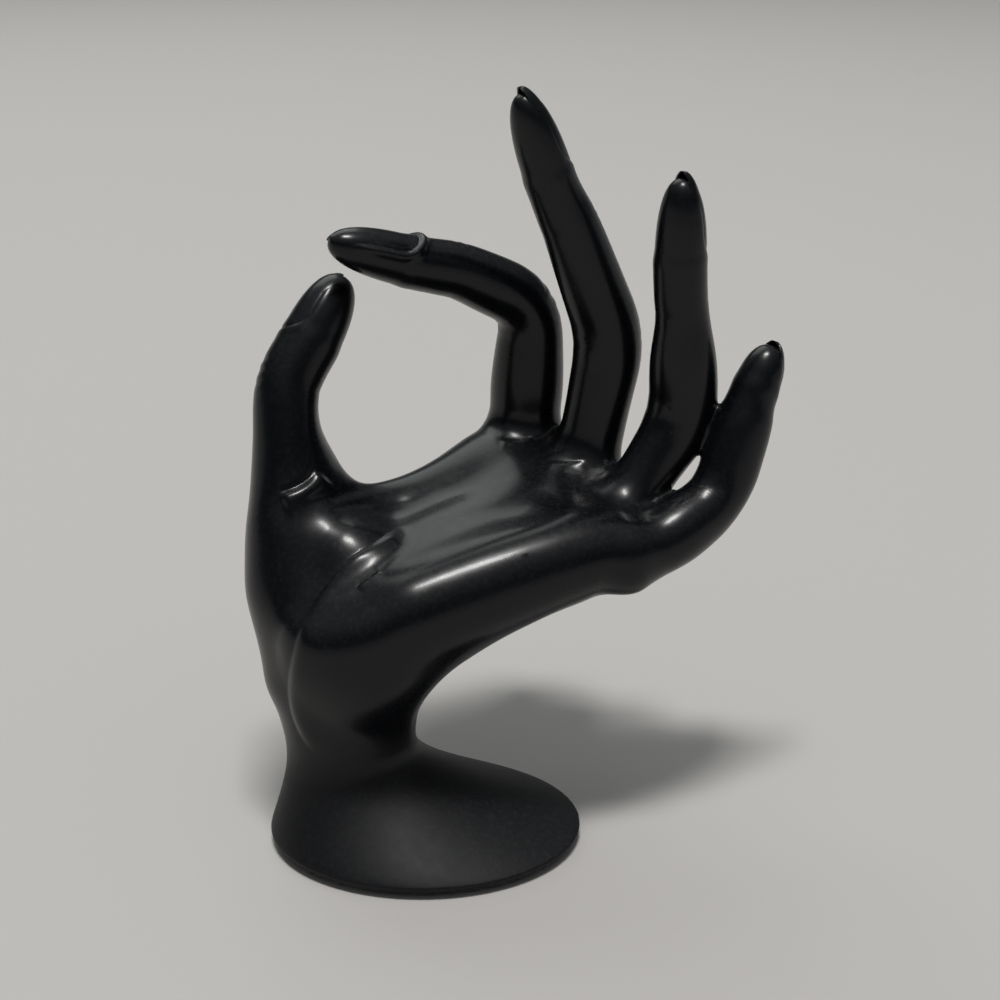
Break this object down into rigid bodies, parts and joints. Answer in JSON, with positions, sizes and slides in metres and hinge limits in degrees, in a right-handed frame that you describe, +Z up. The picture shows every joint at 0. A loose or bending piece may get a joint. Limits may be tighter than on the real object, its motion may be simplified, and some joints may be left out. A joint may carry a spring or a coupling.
{
  "type": "hand jewelry holder",
  "caption": "Cast black resin hand on a flared oval foot, palm up, thumb and forefinger curled towards each other and the other fingers fanned, for holding rings and bracelets.",
  "frame": {"origin": "centre of the oval underside, on the table", "axes": "+Z up, +X to the side the palm reaches out to, along the foot's long axis, -Y towards the viewer of the palm"},
  "size_m": [0.1241, 0.0931, 0.1674],
  "materials": {
    "resin": "satin-gloss black cast resin",
    "weight": "bare sawn steel",
    "felt": "black felt",
    "wire": "drawn steel wire"
  },
  "bodies": {
    "root": {"hand_casting": "resin", "foot_weight": "weight", "felt_pad": "felt", "thumb_wire": "wire", "index_wire": "wire", "middle_wire": "wire", "ring_wire": "wire", "little_wire": "wire"}
  },
  "joints": []
}
